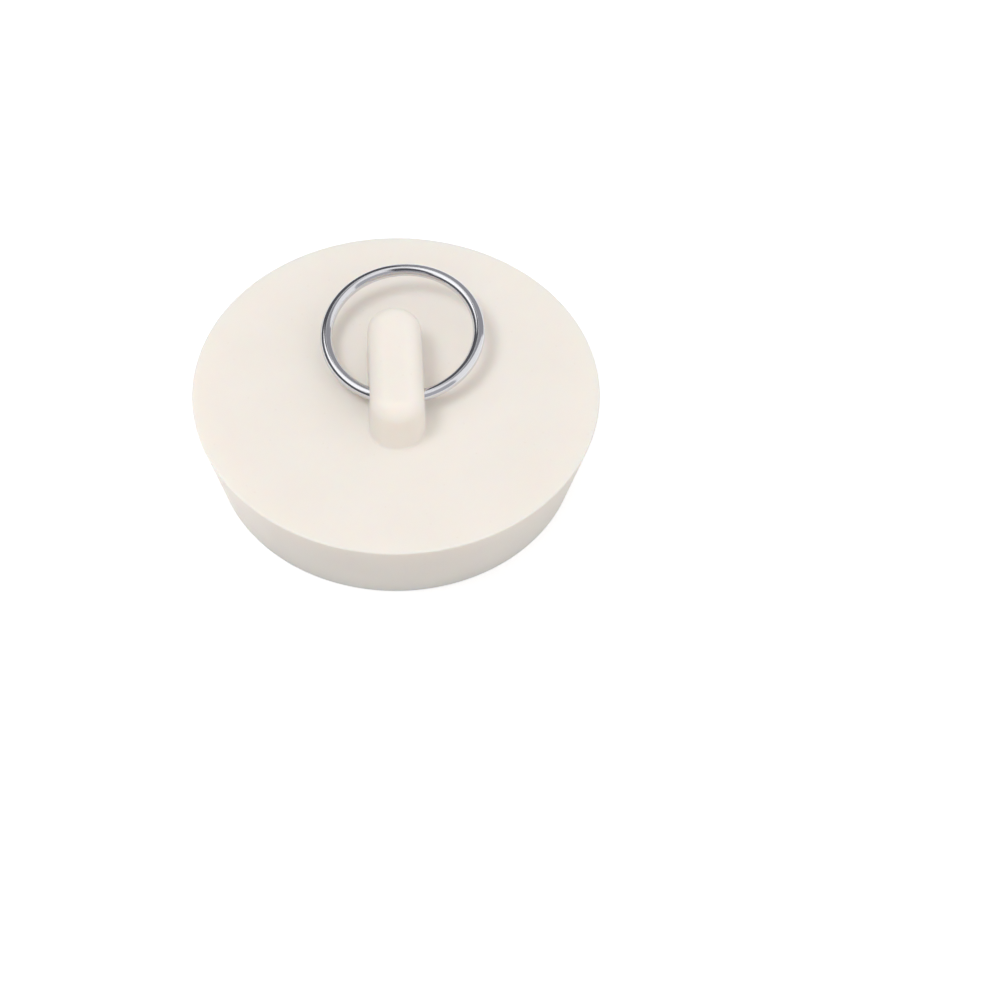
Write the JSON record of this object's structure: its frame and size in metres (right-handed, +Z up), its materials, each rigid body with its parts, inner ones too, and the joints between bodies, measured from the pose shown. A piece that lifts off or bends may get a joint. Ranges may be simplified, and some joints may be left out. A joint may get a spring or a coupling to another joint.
{
  "type": "drain stopper",
  "caption": "Tapered rubber disc that wedges into a sink or bath drain to close it, with an oblong lug on top and a steel pull ring threaded through the lug.",
  "frame": {"origin": "centre of the underside, on the plane that the disc stands on", "axes": "+Z up along the disc's axis, Y along the lug with its hole near the -Y end, X along the hole"},
  "size_m": [0.0499, 0.0498, 0.018],
  "materials": {
    "white_rubber": "matt moulded",
    "polished_steel": "polished"
  },
  "bodies": {
    "stopper": {"stopper_body": "white_rubber"},
    "ring": {"pull_ring": "polished_steel"}
  },
  "joints": [
    {"name": "ring_swing", "type": "hinge", "parent": "stopper", "child": "ring", "pos_m": [0, -0.00225, 0.01345], "axis": [1, 0, 0], "range_deg": [-9.4, 175.5]}
  ]
}
